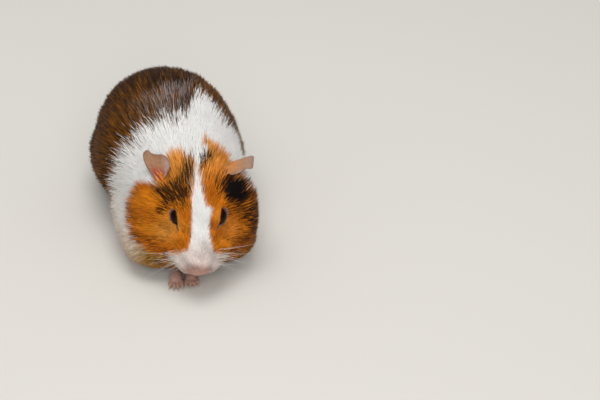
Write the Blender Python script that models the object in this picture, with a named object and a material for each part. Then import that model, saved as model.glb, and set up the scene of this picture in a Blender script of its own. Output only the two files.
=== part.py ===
"""A life-size guinea pig (smooth-coated, crouching with its nose to the ground), as a still model.

Metres, +Z up. The head looks along -Y, so the animal's right side is at -X. The trunk swings to -X
behind the shoulders. The solids are the outer shape of the coat: flesh, fur and all.
"""

import math

import bmesh
import bpy
import numpy as np
from mathutils import Euler, Matrix, Vector

# ---------------------------------------------------------------- driving sizes (metres)
NOSE = Vector((0.018, -0.1126, 0.026))  # tip of the nose; the nose frame's origin is under it
HEAD_PITCH = math.radians(40)  # how steeply the face slopes down to the nose
HEAD_YAW = math.radians(-2.7)  # the crown leans a little to the animal's left
EYE_ALONG = 0.0457  # from the nose tip back along the head
EYE_ABOVE = 0.0040  # above the head's axis
EYE_OUT = 0.0142  # eyeball centre from the middle of the two
EYE_SHIFT = 0.0009  # the middle of the two, from the head's axis
EYE_RADIUS = 0.0075
EAR_THICKNESS = 0.0013
GAP = 0.0003  # air between two nodes that meet
FLESH_VOXEL = 0.0022
FLESH_TRIANGLES = 2900
FOOT_VOXEL = 0.0008
FOOT_TRIANGLES = 200
CLAW_LENGTH = 0.0040
CLAW_RADIUS = 0.0011

# ---------------------------------------------------------------- frames
NOSE_FLOOR = Matrix.Translation((NOSE.x, NOSE.y, 0))
HEAD = Matrix.Translation(NOSE) @ Matrix.Rotation(HEAD_YAW, 4, "Z") @ Matrix.Rotation(HEAD_PITCH, 4, "X")


def mm(*values):
    """Millimetres to a vector in metres."""
    return Vector(values) / 1000


def mass(centre, radii, turn=(0, 0, 0), blend=8.0, frame=NOSE_FLOOR):
    """One rounded mass: an ellipsoid in millimetres, turned in degrees, that melts into its neighbours."""
    angles = Euler([math.radians(angle) for angle in turn])
    place = Matrix.LocRotScale(mm(*centre), angles, None)
    return {"place": frame @ place, "radii": mm(*radii), "blend": blend / 1000}


def both_sides(centre, radii, turn=(0, 0, 0), blend=8.0, frame=HEAD):
    """The same mass on the animal's left and right."""
    x, y, z = centre
    tilt, roll, yaw = turn
    left = mass((x, y, z), radii, (tilt, roll, yaw), blend, frame)
    right = mass((-x, y, z), radii, (tilt, -roll, -yaw), blend, frame)
    return [left, right]


# ---------------------------------------------------------------- the masses of the body
# In the nose frame: x to the animal's left, y back from the nose, z up from the floor.
TRUNK_MASSES = [
    mass((-20, 140, 55), (59, 66, 50), (0, 0, 9), 14),  # back
    mass((-19, 142, 38), (62, 64, 33), (0, 0, 9), 12),  # flanks
    mass((-8, 92, 54), (50, 48, 45), (0, 0, 8), 14),  # withers
    mass((-10, 84, 30), (58, 50, 25), (0, 0, 6), 12),  # chest
    mass((-24, 176, 54), (53, 51, 46), (0, 0, 5), 14),  # upper rump
    mass((-26, 174, 36), (57, 48, 29), (0, 0, 5), 12),  # lower rump
]
HAUNCH_MASSES = [
    mass((-25 + 35, 168, 30), (24, 34, 26), (0, 0, 8), 12),
    mass((-25 - 35, 164, 30), (24, 34, 26), (0, 0, 2), 12),
]
NECK_MASSES = [
    mass((-1, 63, 46), (50, 33, 34), (10, 0, 0), 16),  # neck and ruff
    mass((-2, 66, 68), (31, 32, 23), (24, 0, 0), 14),  # nape
    mass((-27.5, 52.5, 20), (30, 27, 16), (0, 0, 10), 16),  # breast, right
    mass((20, 54, 20), (27, 24, 15), (0, 0, -10), 16),  # breast, left
]
# In the head's frame: x to the animal's left, y back along the head, z up from its axis.
HEAD_MASSES = [
    mass((0, 59, 1), (20, 31, 20), blend=8, frame=HEAD),  # skull
    mass((0, 29, -2), (15, 28, 14.5), (-2, 0, 0), 8, HEAD),  # bridge of the nose
    mass((0, 11, -3), (10.8, 11, 10.8), blend=5, frame=HEAD),  # nose
    mass((0, 32, -14), (15, 24, 12), (8, 0, 0), 7, HEAD),  # lower jaw
    *both_sides((8.2, 13.5, -7.5), (8.4, 11, 7.8), (0, 0, 8), 4),  # whisker pads
    *both_sides((12.5, 33, -12), (13, 20, 12), (0, 0, 16), 8),  # sides of the muzzle
    *both_sides((25, 53, -22), (22, 27, 20), (0, 0, 16), 6),  # jowls
    *both_sides((23, 68, -8), (22, 22, 20), (0, 0, 10), 12),  # cheeks below the ear
]


# ---------------------------------------------------------------- smooth union of masses
def distance_to(mass_, points):
    """Distance of each point to one ellipsoid, negative inside."""
    back = np.array(mass_["place"].inverted())
    radii = np.array(mass_["radii"])
    local = points @ back[:3, :3].T + back[:3, 3]
    scaled = np.linalg.norm(local / radii, axis=1)
    slope = np.linalg.norm(local / radii**2, axis=1)
    return scaled * (scaled - 1) / np.maximum(slope, 1e-9)


def melted(first, second, blend):
    """The smaller of two distances, rounded where they are within one blend length."""
    share = np.clip(0.5 + 0.5 * (first - second) / blend, 0, 1)
    return first * (1 - share) + second * share - blend * share * (1 - share)


def field(masses, points):
    """Distance to all the masses together, each rounded into the rest over its blend length."""
    total = distance_to(masses[0], points)
    for item in masses[1:]:
        total = melted(total, distance_to(item, points), item["blend"])
    return total


def settle(mesh, masses, rounds=8, step=1e-5):
    """Moves a mesh's vertices onto the smooth union's surface."""
    points = np.empty(len(mesh.vertices) * 3)
    mesh.vertices.foreach_get("co", points)
    points = points.reshape(-1, 3)
    for _ in range(rounds):
        level = field(masses, points)
        slopes = []
        for axis in np.eye(3) * step:
            slopes.append((field(masses, points + axis) - level) / step)
        slope = np.stack(slopes, axis=1)
        steepness = np.maximum((slope**2).sum(axis=1), 0.2)
        points -= (level / steepness)[:, None] * slope
    mesh.vertices.foreach_set("co", points.ravel())


# ---------------------------------------------------------------- small modelling helpers
def new_object(name, mesh, place=Matrix()):
    made = bpy.data.objects.new(name, mesh)
    made.matrix_world = place
    bpy.context.scene.collection.objects.link(made)
    return made


def evaluated_mesh(obj):
    """The object's mesh with its modifiers applied."""
    bpy.context.view_layer.update()
    graph = bpy.context.evaluated_depsgraph_get()
    return bpy.data.meshes.new_from_object(obj.evaluated_get(graph))


def bake_modifiers(obj):
    obj.data = evaluated_mesh(obj)
    obj.modifiers.clear()
    return obj


def drop(*objects):
    for obj in objects:
        bpy.data.objects.remove(obj)


def body_of(name, masses, voxel, triangles, place=Matrix()):
    """One closed skin round the masses, as an object of about that many triangles, put in its place."""
    shape = bmesh.new()
    for item in masses:
        stretch = item["place"] @ Matrix.Diagonal((*item["radii"], 1))
        bmesh.ops.create_icosphere(shape, subdivisions=4, radius=1, matrix=stretch)
    mesh = bpy.data.meshes.new(name)
    shape.to_mesh(mesh)
    shape.free()
    obj = new_object(name, mesh)
    remesh = obj.modifiers.new("one skin", "REMESH")
    remesh.mode = "VOXEL"
    remesh.voxel_size = voxel
    bake_modifiers(obj)
    settle(obj.data, masses)
    collapse = obj.modifiers.new("fewer faces", "DECIMATE")
    collapse.ratio = triangles / (2 * len(obj.data.polygons))
    bake_modifiers(obj)
    obj.matrix_world = place
    return obj


def inflated(obj, name, by):
    """A copy that stands proud by that much, to cut its neighbours with."""
    copy = new_object(name, obj.data.copy(), obj.matrix_world)
    swell = copy.modifiers.new("stand proud", "DISPLACE")
    swell.strength = by
    swell.mid_level = 0
    return bake_modifiers(copy)


def boolean(obj, operation, other):
    cut = obj.modifiers.new(operation.lower(), "BOOLEAN")
    cut.operation = operation
    cut.object = other
    return bake_modifiers(obj)


def ball(name, place, radii):
    shape = bmesh.new()
    bmesh.ops.create_icosphere(shape, subdivisions=3, radius=1, matrix=Matrix.Diagonal((*radii, 1)))
    mesh = bpy.data.meshes.new(name)
    shape.to_mesh(mesh)
    shape.free()
    return new_object(name, mesh, place)


def block(name, centre, size):
    shape = bmesh.new()
    matrix = Matrix.LocRotScale(centre, None, size)
    bmesh.ops.create_cube(shape, size=1, matrix=matrix)
    mesh = bpy.data.meshes.new(name)
    shape.to_mesh(mesh)
    shape.free()
    return new_object(name, mesh)


def behind(obj, name, point, normal):
    """The part of a closed object on the far side of a plane, capped flat."""
    shape = bmesh.new()
    shape.from_mesh(obj.data)
    everything = shape.verts[:] + shape.edges[:] + shape.faces[:]
    cut = bmesh.ops.bisect_plane(
        shape, geom=everything, plane_co=point, plane_no=normal, clear_inner=True
    )
    rim = [item for item in cut["geom_cut"] if isinstance(item, bmesh.types.BMEdge)]
    cap = bmesh.ops.edgeloop_fill(shape, edges=rim)
    bmesh.ops.triangulate(shape, faces=cap["faces"])
    bmesh.ops.recalc_face_normals(shape, faces=shape.faces)
    mesh = bpy.data.meshes.new(name)
    shape.to_mesh(mesh)
    shape.free()
    return new_object(name, mesh)


def finish(obj, colour, roughness):
    """Smooth shading, sharp only at cut edges, and a plain surface of its own."""
    material = bpy.data.materials.new(obj.name)
    material.use_nodes = True
    surface = material.node_tree.nodes["Principled BSDF"]
    surface.inputs["Base Color"].default_value = (*colour, 1)
    surface.inputs["Roughness"].default_value = roughness
    obj.data.materials.clear()
    obj.data.materials.append(material)
    obj.data.shade_smooth()
    obj.data.set_sharp_from_angle(angle=math.radians(50))


# ---------------------------------------------------------------- colours (linear)
WHITE_COAT = (0.75, 0.72, 0.66)
GINGER_COAT = (0.48, 0.17, 0.03)
DARK_COAT = (0.06, 0.035, 0.02)
BARE_SKIN = (0.45, 0.25, 0.20)
EYE_BLACK = (0.01, 0.008, 0.008)
HORN = (0.35, 0.27, 0.22)

# ---------------------------------------------------------------- where the flesh is parted
HEAD_CUT = (NOSE_FLOOR @ mm(0, 66, 50), Vector((0, 0.968, -0.25)))
NECK_CUT = (NOSE_FLOOR @ mm(0, 96, 50), Vector((-0.13, 0.98, -0.13)).normalized())
HIND_LEG_REGIONS = {
    "left": ((-26 + 42, 166, 24), (24, 36, 34)),
    "right": ((-26 - 42, 162, 24), (24, 36, 34)),
}


# ---------------------------------------------------------------- feet
# Each foot is made in its own frame: x across, y back from the tip of the middle toe, z up.
def foot_masses(length, width, toes, toe_length, spread):
    """Sole, heel and toes of one foot, a little below the floor so that it can be cut flat."""
    own = Matrix()
    sole = length - toe_length * 0.6
    masses = [
        mass((0, toe_length * 0.7 + sole * 0.35, 3.6), (width * 0.5, sole * 0.42, 4.2), (6, 0, 0), 2, own),
        mass((0, length * 0.74, 4.4), (width * 0.42, length * 0.30, 4.9), (10, 0, 0), 2, own),
    ]
    for index in range(toes):
        share = index / (toes - 1) - 0.5  # -0.5 on one side, 0.5 on the other
        back = abs(share) ** 1.6 * toe_length * 0.9
        centre = (share * width * 0.92, back + toe_length * 0.55, 2.3)
        yaw = share * spread
        masses.append(mass(centre, (width * 0.125, toe_length * 0.58, 2.5), (-4, 0, yaw), 0.8, own))
        tip = (share * width * 1.02, back + toe_length * 0.22, 2.0)
        masses.append(mass(tip, (width * 0.135, toe_length * 0.24, 2.2), (0, 0, yaw), 0.6, own))
    return masses


def toe_tips(frame, width, toes, toe_length, spread):
    """Where each claw starts, and which way it points."""
    for index in range(toes):
        share = index / (toes - 1) - 0.5
        back = abs(share) ** 1.6 * toe_length * 0.9
        start = (share * width * 1.04, back + 0.6, 2.5)
        yield frame @ Matrix.LocRotScale(mm(*start), Euler((0, 0, math.radians(share * spread))), None)


def foot_frame(x, y, turn):
    return NOSE_FLOOR @ Matrix.Translation(mm(x, y, 0)) @ Matrix.Rotation(math.radians(turn), 4, "Z")


FORE_FOOT = {"length": 19, "width": 9.4, "toes": 4, "toe_length": 7.5, "spread": 16}
HIND_FOOT = {"length": 36, "width": 12.5, "toes": 3, "toe_length": 10, "spread": 22}
FEET = {
    "forefoot_left": (foot_frame(-4.5, 17, 3), FORE_FOOT),
    "forefoot_right": (foot_frame(-17.5, 15, -3), FORE_FOOT),
    "hindfoot_left": (foot_frame(-26 + 42, 136, 10), HIND_FOOT),
    "hindfoot_right": (foot_frame(-26 - 36, 132, -2), HIND_FOOT),
}
FORELEGS = {
    "left": [
        mass((-4, 38, 14), (6, 16, 8), (-32, 0, 2), 4),
        mass((-1, 48, 22), (8, 18, 12), (-20, 0, 0), 5),
    ],
    "right": [
        mass((-18, 36, 14), (6, 16, 8), (-32, 0, -2), 4),
        mass((-21, 46, 22), (8, 18, 12), (-20, 0, 0), 5),
    ],
}


def claw(name, place):
    """A curved, tapering claw; in its own frame it runs from its root along -Y and bends down."""
    shape = bmesh.new()
    rings, sides = 4, 5
    loops = []
    for step in range(rings):
        along = step / (rings - 1)
        radius = CLAW_RADIUS * (1 - 0.86 * along**1.3)
        centre = Vector((0, -along * CLAW_LENGTH, -0.0013 * along**2))
        matrix = Matrix.Translation(centre) @ Matrix.Rotation(math.radians(90), 4, "X")
        ring = bmesh.ops.create_circle(shape, segments=sides, radius=radius, matrix=matrix, cap_ends=False)
        loops.append(ring["verts"])
    edges = [edge for edge in shape.edges]
    bmesh.ops.bridge_loops(shape, edges=edges)
    bmesh.ops.holes_fill(shape, edges=shape.edges, sides=sides)
    bmesh.ops.triangulate(shape, faces=shape.faces)
    bmesh.ops.recalc_face_normals(shape, faces=shape.faces)
    mesh = bpy.data.meshes.new(name)
    shape.to_mesh(mesh)
    shape.free()
    return new_object(name, mesh, place)


# ---------------------------------------------------------------- ears
# Each ear is a thin bent sheet. Its rim is given in the plane of the sheet, in millimetres from the
# middle of its root: x across the ear, y up the sheet. "faces" is the side that the cup is read from, and
# "sink" is how far the root curves back into the coat.
EARS = {
    "left": {  # hangs outwards and down, its back uppermost
        "root": (29.2, 54.5, 87.0),
        "across": (0.854, 0.273, -0.443),
        "faces": (0.501, -0.200, 0.842),
        "base": ((-5, -5), (-5, 5)),
        "rim": [(1, -4.4), (5, -3.6), (9.1, -1.6), (13.7, 1.8), (17, 2.9), (20, 3.7), (22.2, 10), (24, 16.7),
                (21.5, 17.1), (13.8, 12.9), (7, 9.3), (1.5, 6.2)],
        "cup": -4.0,
        "sink": 4.0,
    },
    "right": {  # held up, its hollow forwards
        "root": (-27.8, 51.5, 84.8),
        "across": (0.954, -0.251, 0.163),
        "faces": (-0.30, -0.80, 0.52),
        "base": ((-1.5, -5), (4, -5)),
        "rim": [(-3.5, 0.5), (-7, 4.5), (-10.2, 9.5), (-12.3, 14), (-12.4, 18), (-9.2, 20.6), (-5.3, 17.6),
                (-1, 16.7), (3, 16.6), (7, 14.3), (9.6, 10.5), (10, 6.5), (7, 2)],
        "cup": 6.0,
        "sink": 0.0,
    },
}
EAR_SPANS = 13  # faces along the rim
EAR_STEPS = 5  # faces from root to rim


def on_curve(points, share):
    """A point on the smooth curve through a list of points; share runs from 0 to 1."""
    place = share * (len(points) - 1)
    index = min(int(place), len(points) - 2)
    t = place - index
    around = [points[min(max(index + step, 0), len(points) - 1)] for step in (-1, 0, 1, 2)]
    a, b, c, d = (Vector(point) for point in around)
    return 0.5 * (2 * b + (c - a) * t + (2 * a - 5 * b + 4 * c - d) * t**2 + (3 * b - a - 3 * c + d) * t**3)


def ear(name, form):
    """A cupped petal: a grid stretched from the root to the rim, bent, and given thickness."""
    normal = Vector(form["faces"]).normalized()
    across = Vector(form["across"])
    across = (across - normal * across.dot(normal)).normalized()
    turn = Matrix((across, normal.cross(across), normal)).transposed().to_4x4()
    shape = bmesh.new()
    bmesh.ops.create_grid(shape, x_segments=EAR_SPANS, y_segments=EAR_STEPS, size=0.5)
    for vertex in shape.verts:
        along, out = vertex.co.x + 0.5, vertex.co.y + 0.5  # along the rim, and from root to rim
        base = Vector(form["base"][0]).lerp(Vector(form["base"][1]), along)
        spot = base.lerp(on_curve(form["rim"], along), out)
        bend = form["cup"] * ((2 * along - 1) ** 2 - 0.45) * min(1, out * 1.3)
        bend -= form["sink"] * max(0, 1 - out / 0.35) ** 2
        vertex.co = mm(spot.x, spot.y, bend)
    mesh = bpy.data.meshes.new(name)
    shape.to_mesh(mesh)
    shape.free()
    obj = new_object(name, mesh, NOSE_FLOOR @ Matrix.Translation(mm(*form["root"])) @ turn)
    thicken = obj.modifiers.new("thickness", "SOLIDIFY")
    thicken.thickness = EAR_THICKNESS
    thicken.offset = 0
    return bake_modifiers(obj)


# ---------------------------------------------------------------- build
for old in list(bpy.data.objects):
    bpy.data.objects.remove(old)

flesh_masses = TRUNK_MASSES + HAUNCH_MASSES + NECK_MASSES + HEAD_MASSES
flesh = body_of("flesh", flesh_masses, FLESH_VOXEL, FLESH_TRIANGLES)
guard = inflated(flesh, "flesh_guard", GAP)

eyes = []
for side, sign in (("left", 1), ("right", -1)):
    place = HEAD @ Matrix.Translation((EYE_OUT * sign + EYE_SHIFT, EYE_ALONG, EYE_ABOVE))
    eyes.append(ball(f"eye_{side}", place, [EYE_RADIUS] * 3))
    socket = ball(f"socket_{side}", place, [EYE_RADIUS + GAP] * 3)
    boolean(flesh, "DIFFERENCE", socket)
    drop(socket)

ears = []
for side, form in EARS.items():
    ears.append(boolean(ear(f"ear_{side}", form), "DIFFERENCE", guard))

hind_legs = []
for side, (centre, radii) in HIND_LEG_REGIONS.items():
    place = NOSE_FLOOR @ Matrix.Translation(mm(*centre))
    inside = ball("inside", place, mm(*radii))
    outside = ball("outside", place, [r + GAP for r in mm(*radii)])
    leg = new_object(f"hindleg_{side}", flesh.data.copy())
    hind_legs.append(boolean(leg, "INTERSECT", inside))
    boolean(flesh, "DIFFERENCE", outside)
    drop(inside, outside)

head_point, head_normal = HEAD_CUT
neck_point, neck_normal = NECK_CUT
head = behind(flesh, "head", head_point - head_normal * GAP / 2, -head_normal)
back = behind(flesh, "back", head_point + head_normal * GAP / 2, head_normal)
neck = behind(back, "neck", neck_point - neck_normal * GAP / 2, -neck_normal)
trunk = behind(back, "trunk", neck_point + neck_normal * GAP / 2, neck_normal)

floor_cutter = block("floor_cutter", Vector((0, 0, -0.05)), Vector((1, 1, 0.1)))
feet, claws, forelegs, foot_guards = [], [], [], []
for name, (frame, form) in FEET.items():
    foot = body_of(name, foot_masses(**form), FOOT_VOXEL, FOOT_TRIANGLES, place=frame)
    boolean(foot, "DIFFERENCE", floor_cutter)
    foot_guard = inflated(foot, f"guard_{name}", GAP)
    foot_guards.append(foot_guard)
    tips = toe_tips(frame, form["width"], form["toes"], form["toe_length"], form["spread"])
    for number, place in enumerate(tips, 1):
        nail = claw(f"claw_{name}_{number}", place)
        claws.append(boolean(nail, "DIFFERENCE", foot_guard))
    boolean(foot, "DIFFERENCE", guard)
    feet.append(foot)

for side, masses in FORELEGS.items():
    leg = body_of(f"foreleg_{side}", masses, FLESH_VOXEL / 2, FOOT_TRIANGLES)
    for cutter in (guard, *foot_guards):
        boolean(leg, "DIFFERENCE", cutter)
    forelegs.append(leg)

drop(flesh, back, guard, floor_cutter, *foot_guards)

finish(head, GINGER_COAT, 0.8)
finish(neck, WHITE_COAT, 0.8)
finish(trunk, DARK_COAT, 0.8)
for leg in hind_legs:
    finish(leg, DARK_COAT, 0.8)
for leg in forelegs:
    finish(leg, WHITE_COAT, 0.8)
for foot in feet:
    finish(foot, BARE_SKIN, 0.6)
for one in ears:
    finish(one, BARE_SKIN, 0.6)
for one in eyes:
    finish(one, EYE_BLACK, 0.1)
for one in claws:
    finish(one, HORN, 0.4)
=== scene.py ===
# %% [markdown]
# # A guinea pig, crouching with its nose to the ground
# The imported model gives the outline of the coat. This script dresses it: one skin with lids, nostrils and
# feet, a coat of thousands of small tufts that follow the lie of the hair, glossy eyes, thin ears and
# whiskers. Everything is in metres, and the animal faces -Y with its left side at +X.

# %% Load the fixed frame
import math

import bmesh
import bpy
import numpy as np
from mathutils import Matrix, Vector
from mathutils.bvhtree import BVHTree


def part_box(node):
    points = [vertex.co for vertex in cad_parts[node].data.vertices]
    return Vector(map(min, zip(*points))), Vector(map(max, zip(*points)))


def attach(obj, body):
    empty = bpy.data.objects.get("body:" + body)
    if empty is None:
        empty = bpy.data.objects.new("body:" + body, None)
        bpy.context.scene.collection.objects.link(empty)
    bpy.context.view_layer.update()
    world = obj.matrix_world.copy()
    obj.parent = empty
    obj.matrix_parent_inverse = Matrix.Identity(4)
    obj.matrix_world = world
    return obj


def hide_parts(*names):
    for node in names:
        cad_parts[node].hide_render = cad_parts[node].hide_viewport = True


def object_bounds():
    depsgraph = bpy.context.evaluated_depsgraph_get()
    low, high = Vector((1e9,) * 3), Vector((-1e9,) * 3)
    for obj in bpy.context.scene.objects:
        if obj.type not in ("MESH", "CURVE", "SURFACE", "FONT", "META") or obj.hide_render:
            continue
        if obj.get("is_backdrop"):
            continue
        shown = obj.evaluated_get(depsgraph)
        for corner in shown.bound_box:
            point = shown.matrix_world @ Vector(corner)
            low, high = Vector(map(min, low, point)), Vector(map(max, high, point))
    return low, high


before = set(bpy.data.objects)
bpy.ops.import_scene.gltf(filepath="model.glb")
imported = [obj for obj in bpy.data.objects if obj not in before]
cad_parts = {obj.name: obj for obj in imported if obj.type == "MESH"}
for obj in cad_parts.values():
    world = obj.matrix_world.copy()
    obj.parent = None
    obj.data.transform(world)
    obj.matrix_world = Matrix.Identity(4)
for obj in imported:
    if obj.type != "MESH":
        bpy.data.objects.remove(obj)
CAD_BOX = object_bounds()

print("CAD box", [corner.to_tuple(4) for corner in CAD_BOX])

# %% [markdown]
# ## Two frames of reference
# An animal is easier to describe from its own nose than from the middle of the room. The nose frame lies
# flat on the floor: x to the animal's left, y back, z up. The head frame is tipped with the face, so that
# y runs back along the head. Numbers in both are millimetres, as on a measuring tape.

# %% The nose frame and the head frame
SIDES = {"left": 1, "right": -1}  # which way x goes on that side of the animal
HEAD_YAW, HEAD_PITCH = math.radians(-2.7), math.radians(40)  # the crown leans left, the face slopes down
NOSE = Vector((0.018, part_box("head")[0].y + 0.002, 0.026))
HEAD_TURN = Matrix.Rotation(HEAD_YAW, 4, "Z") @ Matrix.Rotation(HEAD_PITCH, 4, "X")
HEAD = Matrix.Translation(NOSE) @ HEAD_TURN
NOSE_FLOOR = Matrix.Translation((NOSE.x, NOSE.y, 0))


def mm(*values):
    return Vector(values) / 1000


def into(frame_matrix, points):
    """Points in metres, as millimetres in a frame of the animal's own."""
    back = np.array(frame_matrix.inverted())
    return (points @ back[:3, :3].T + back[:3, 3]) * 1000


print("nose at", NOSE.to_tuple(4))

# %% [markdown]
# ## Small helpers
# Colours are written as on the web, in sRGB, and turned to linear light once. One function adds a shader
# node with its settings and its inputs. Others turn a finished bmesh into a mesh, make it a piece of the
# animal, and read a mesh as arrays, since sums over all its points at once are quick.

# %% Helpers for colours and nodes
def linear(hexadecimal):
    """An sRGB hex colour as linear light."""
    values = [int(hexadecimal[i : i + 2], 16) / 255 for i in (1, 3, 5)]
    return [v / 12.92 if v <= 0.04045 else ((v + 0.055) / 1.055) ** 2.4 for v in values]


def add(material, kind, inputs=None, **settings):
    """Adds one node to a material; an input is a number, a colour or another node's output socket."""
    tree = material.node_tree
    node = tree.nodes.new(kind)
    for name, value in settings.items():
        setattr(node, name, value)
    for name, value in (inputs or {}).items():
        if isinstance(value, bpy.types.NodeSocket):
            tree.links.new(value, node.inputs[name])
        else:
            node.inputs[name].default_value = value
    return node


def new_material(name):
    material = bpy.data.materials.new(name)
    material.use_nodes = True
    material.node_tree.nodes.clear()
    return material


print("half grey is", round(linear("#808080")[0], 3), "in linear light")


# %% Helpers for meshes and objects
def as_mesh(shape, name):
    """A finished bmesh as a mesh; the bmesh is freed."""
    mesh = bpy.data.meshes.new(name)
    shape.to_mesh(mesh)
    shape.free()
    return mesh


def new_object(name, data):
    made = bpy.data.objects.new(name, data)
    bpy.context.scene.collection.objects.link(made)
    return made


def evaluated_mesh(obj):
    """What a curve, or a mesh with its modifiers, comes out as; the object itself goes."""
    bpy.context.view_layer.update()
    graph = bpy.context.evaluated_depsgraph_get()
    mesh = bpy.data.meshes.new_from_object(obj.evaluated_get(graph))
    bpy.data.objects.remove(obj)
    return mesh


def finished(name, mesh, material, slot, *stands_for):
    """A piece of the animal: it rides on the body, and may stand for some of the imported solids."""
    mesh.materials.append(material)
    piece = new_object(name, mesh)
    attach(piece, "root")
    if stands_for:
        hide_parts(*stands_for)
    print(name, len(mesh.polygons), "faces")


def rows(items, what):
    """A vector of each vertex or face of a mesh, as an array with one row for each."""
    values = np.empty(len(items) * 3)
    items.foreach_get(what, values)
    return values.reshape(-1, 3)


print("the packed head has", len(rows(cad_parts["head"].data.vertices, "co")), "points")


# %% Helpers for arrays of points
def size_of(vectors):
    return np.linalg.norm(vectors, axis=-1)


def smoothstep(values, low, high):
    """0 below low, 1 above high, and an easy slope between them."""
    share = np.clip((values - low) / (high - low), 0, 1)
    return share * share * (3 - 2 * share)


def wander(points, size, seed):
    """A smooth, repeatable disorder over space: about -2 to 2, with patches of that size in metres."""
    source = np.random.default_rng(seed)
    total = np.zeros(len(points))
    for _ in range(7):
        wave = source.normal(0, 1, 3)
        wave *= source.uniform(0.6, 1.4) / (np.linalg.norm(wave) * size) * math.pi
        total += np.sin(points @ wave + source.uniform(0, 6.28))
    return total / math.sqrt(3.5)


print("a quarter of the way up the slope:", float(smoothstep(np.array(0.25), 0, 1)))

# %% [markdown]
# ## Camera
# A long lens from in front and above, as someone would look down at a small animal on the ground. The
# perspective is gentle, and the animal stays left of the middle.

# %% Camera
LENS, FILM_WIDTH = 120, 36  # mm
CAMERA_FROM_NOSE = Vector((0, -1.2459, 0.9388))
CAMERA_TURN = (55.062, 0, -3.672)  # degrees: tipped down, and a little to its right

camera_data = bpy.data.cameras.new("camera")
camera_data.lens, camera_data.sensor_width = LENS, FILM_WIDTH
camera = new_object("camera", camera_data)
camera.location = NOSE + CAMERA_FROM_NOSE
camera.rotation_euler = [math.radians(angle) for angle in CAMERA_TURN]
bpy.context.scene.camera = camera
print("camera", round((camera.location - NOSE).length, 2), "m from the nose")

# %% [markdown]
# ## Studio
# A plain pale floor, one broad soft lamp high above the animal's back, a second one in front, and a pale
# surrounding. Soft light from above is what lets the lie of a coat read.

# %% Floor
FLOOR_SIZE = 6
floor_shape = bmesh.new()
bmesh.ops.create_grid(floor_shape, x_segments=1, y_segments=1, size=FLOOR_SIZE)
paper = new_material("pale studio paper")  # matt, so it shows only soft shadows
shader = add(paper, "ShaderNodeBsdfPrincipled", {"Base Color": (*linear("#d9d5cd"), 1), "Roughness": 0.9})
add(paper, "ShaderNodeOutputMaterial", {"Surface": shader.outputs["BSDF"]})
floor = new_object("floor", as_mesh(floor_shape, "floor"))
floor.data.materials.append(paper)
floor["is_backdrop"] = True
print("floor reaches", max(corner.co.x for corner in floor.data.vertices), "m each way")

# %% Lamps and surrounding
LAMP_SIZE, LAMP_POWER, LAMP_AIM = 1.0, 11, Vector((0, 0, 0.05))
for name, place in (("sky lamp", (-0.05, 0.0, 1.5)), ("front lamp", (0.1, -1.5, 1.0))):
    lamp = bpy.data.lights.new(name, "AREA")
    lamp.size, lamp.energy = LAMP_SIZE, LAMP_POWER
    holder = new_object(name, lamp)
    holder.location = place
    holder.rotation_euler = (LAMP_AIM - Vector(place)).to_track_quat("-Z", "Y").to_euler()
    print(name, LAMP_POWER, "W,", round((LAMP_AIM - Vector(place)).length, 2), "m away")

world = bpy.data.worlds.new("studio")
world.use_nodes = True
surrounding = world.node_tree.nodes["Background"]
surrounding.inputs["Color"].default_value = (*linear("#f1f3f6"), 1)
surrounding.inputs["Strength"].default_value = 0.55
bpy.context.scene.world = world
bpy.context.scene.view_settings.view_transform = "Standard"

# %% [markdown]
# ## The skin
# Under the coat there is one unbroken skin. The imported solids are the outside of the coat, cut into parts.
# Their copies are merged, swollen until they touch and remeshed into one surface. The eyeballs go in too, so
# that the skin bulges over them as lids do. Feet are remeshed on a finer grid, or their toes would melt.

# %% Copy the solids of flesh
FLESH = ["head", "neck", "trunk", "hindleg_left", "hindleg_right", "foreleg_left", "foreleg_right"]
FEET = ["forefoot_left", "forefoot_right", "hindfoot_left", "hindfoot_right"]
EYES = ["eye_left", "eye_right"]


def merged_copy(names, swell):
    """One mesh of merged copies of those nodes, each pushed outwards a little."""
    joined = bmesh.new()
    for name in names:
        part = bmesh.new()
        part.from_mesh(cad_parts[name].data)
        bmesh.ops.remove_doubles(part, verts=part.verts, dist=1e-6)
        part.normal_update()
        for vertex in part.verts:
            vertex.co += vertex.normal * swell
        joined.from_mesh(as_mesh(part, name + "_copy"))
    return as_mesh(joined, "joined")


FLESH_SWELL, FEET_SWELL = 0.00035, 0.0001  # enough to close the cuts between the solids
flesh_copy = merged_copy(FLESH + EYES, FLESH_SWELL)
feet_copy = merged_copy(FEET, FEET_SWELL)
print("points on the flesh", len(flesh_copy.vertices), "and on the feet", len(feet_copy.vertices))


# %% Merge the flesh into one surface
def one_surface(mesh, voxel, rounds):
    """The union of what is in the mesh, as an even net of quads, smoothed."""
    obj = new_object("shell", mesh)
    remesh = obj.modifiers.new("one surface", "REMESH")
    remesh.mode, remesh.voxel_size = "VOXEL", voxel
    smooth = obj.modifiers.new("soften facets", "LAPLACIANSMOOTH")
    smooth.iterations, smooth.lambda_factor, smooth.use_volume_preserve = rounds, 1.0, True
    return evaluated_mesh(obj)


FLESH_VOXEL, FLESH_ROUNDS = 0.0013, 12
FEET_VOXEL, FEET_ROUNDS = 0.00065, 3
flesh_mesh = one_surface(flesh_copy, FLESH_VOXEL, FLESH_ROUNDS)
feet_mesh = one_surface(feet_copy, FEET_VOXEL, FEET_ROUNDS)
print("flesh", len(flesh_mesh.polygons), "faces, feet", len(feet_mesh.polygons), "faces")

# %% [markdown]
# ## The eyes' places
# A guinea pig's eye is a large ball that stands out of the side of the head. It looks sideways and up, and
# shows through an almond-shaped slit. Directions from the ball's centre are the easy way to describe lids,
# so the almond is given in degrees: along it, towards the back of the head, and above it.

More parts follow.
